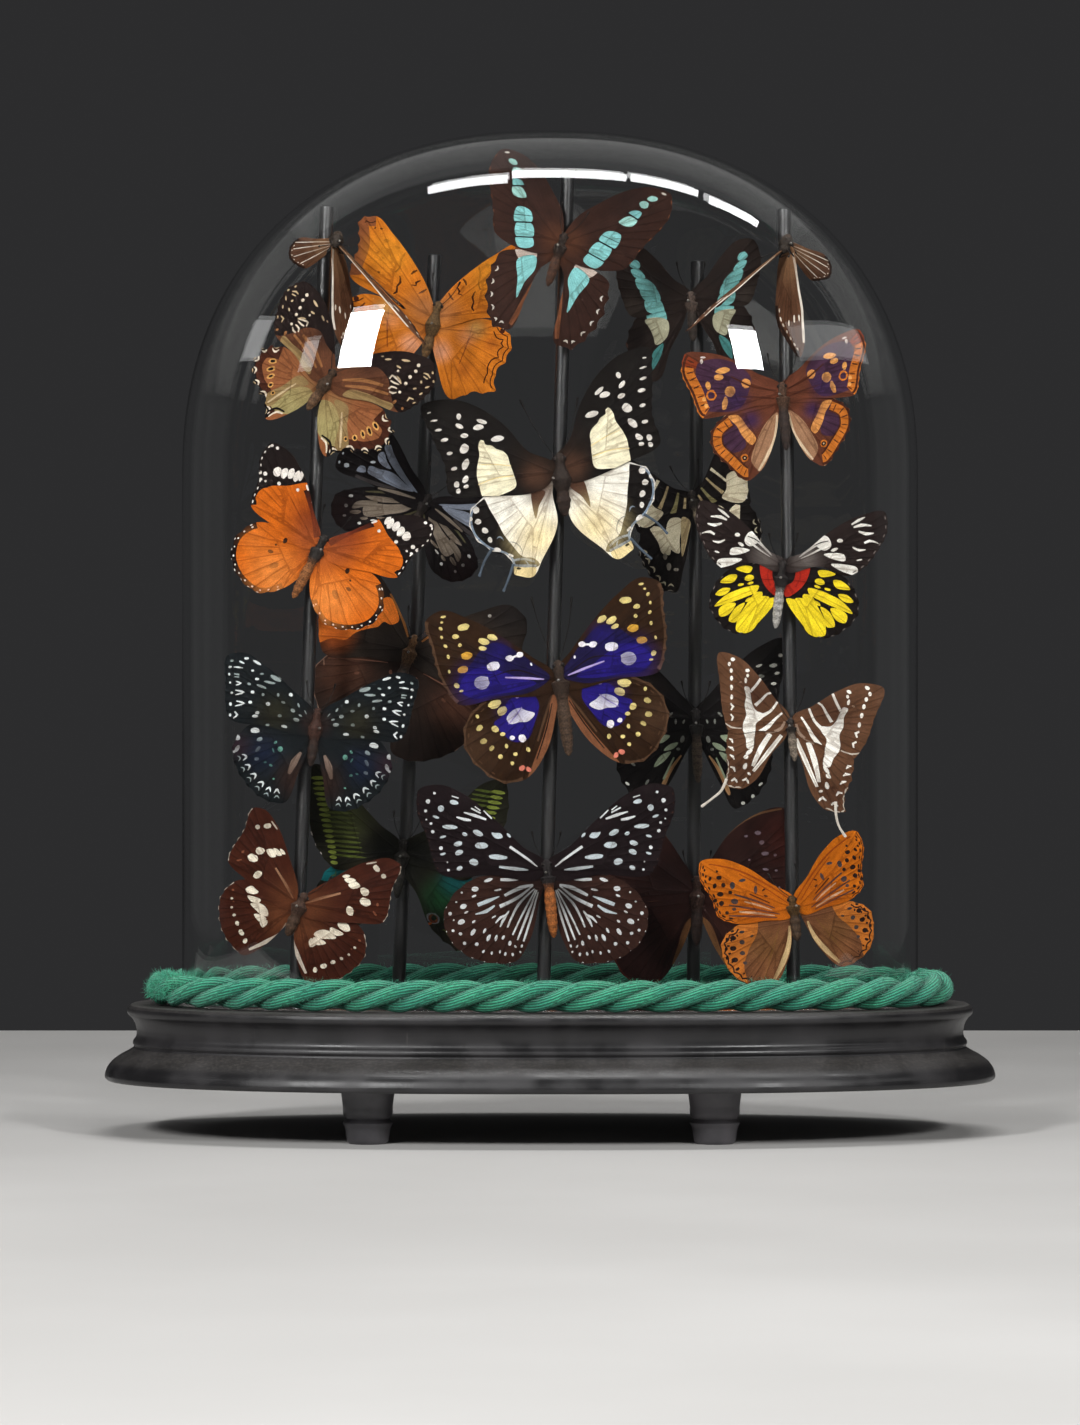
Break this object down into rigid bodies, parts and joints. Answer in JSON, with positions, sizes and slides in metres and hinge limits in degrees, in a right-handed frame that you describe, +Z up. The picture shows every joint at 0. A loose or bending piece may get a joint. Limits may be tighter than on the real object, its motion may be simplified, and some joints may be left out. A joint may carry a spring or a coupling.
{
  "type": "insect in glass dome",
  "caption": "Oval glass dome on a black footed plinth, with pinned butterflies on slim rods inside and a green twisted rope round its foot.",
  "frame": {"origin": "on the ground, under the middle of the oval plinth", "axes": "+X to the viewer's right along the oval's long axis, +Y away from the viewer, +Z up"},
  "size_m": [0.355, 0.194, 0.4004],
  "materials": {
    "glass": "clear blown glass, smooth",
    "ebonised": "turned wood, satin black paint, scuffed",
    "rope": "green three-strand cotton rope",
    "rod": "slim dowel, glossy black lacquer",
    "brown_top_left": "dry specimen: dark brown wings with white-edged margins",
    "brown_lacewing": "dry specimen: orange-brown wings with dark loops",
    "plain_tiger": "dry specimen: orange wings with black and white tips",
    "blue_cracker": "dry specimen: blue-black wings with white dots",
    "white_banded_brown": "dry specimen: chocolate wings with cream bands",
    "orange_cruiser": "dry specimen: tawny orange wings with dark waves",
    "glassy_tiger": "dry specimen: grey wings with pale blue windows",
    "leaf": "dry specimen: brown wings with an orange band",
    "green_swallowtail": "dry specimen: olive and green dusted wings",
    "bluebottle_front": "dry specimen: brown-black wings with a turquoise band",
    "cream_nawab": "dry specimen: cream wings with black borders",
    "great_purple_emperor": "dry specimen: brown wings with purple fields",
    "blue_tiger": "dry specimen: dark brown wings with pale blue streaks",
    "bluebottle_back": "dry specimen: brown-black wings with a blue-green band",
    "zebra_swallowtail": "dry specimen: black and cream striped wings",
    "black_crow": "dry specimen: black wings with grey-green streaks",
    "maroon_crow": "dry specimen: dark maroon wings",
    "brown_top_right": "dry specimen: dark brown wings with white-edged margins",
    "lesser_purple_emperor": "dry specimen: brown, ochre and purple wings",
    "jezebel": "dry specimen: black and white forewings, yellow hindwings",
    "striped_swordtail": "dry specimen: brown and white striped wings",
    "orange_fritillary": "dry specimen: orange wings with black spots"
  },
  "bodies": {
    "root": {"dome": "glass", "plinth": "ebonised", "foot_front_left": "ebonised", "foot_front_right": "ebonised", "foot_back_left": "ebonised", "foot_back_right": "ebonised", "rope_ring": "rope", "rod_1": "rod", "rod_2": "rod", "rod_3": "rod", "rod_4": "rod", "rod_5": "rod", "butterfly_brown_top_left": "brown_top_left", "butterfly_brown_lacewing": "brown_lacewing", "butterfly_plain_tiger": "plain_tiger", "butterfly_blue_cracker": "blue_cracker", "butterfly_white_banded_brown": "white_banded_brown", "butterfly_orange_cruiser": "orange_cruiser", "butterfly_glassy_tiger": "glassy_tiger", "butterfly_leaf": "leaf", "butterfly_green_swallowtail": "green_swallowtail", "butterfly_bluebottle_front": "bluebottle_front", "butterfly_cream_nawab": "cream_nawab", "butterfly_great_purple_emperor": "great_purple_emperor", "butterfly_blue_tiger": "blue_tiger", "butterfly_bluebottle_back": "bluebottle_back", "butterfly_zebra_swallowtail": "zebra_swallowtail", "butterfly_black_crow": "black_crow", "butterfly_maroon_crow": "maroon_crow", "butterfly_brown_top_right": "brown_top_right", "butterfly_lesser_purple_emperor": "lesser_purple_emperor", "butterfly_jezebel": "jezebel", "butterfly_striped_swordtail": "striped_swordtail", "butterfly_orange_fritillary": "orange_fritillary"}
  },
  "joints": []
}
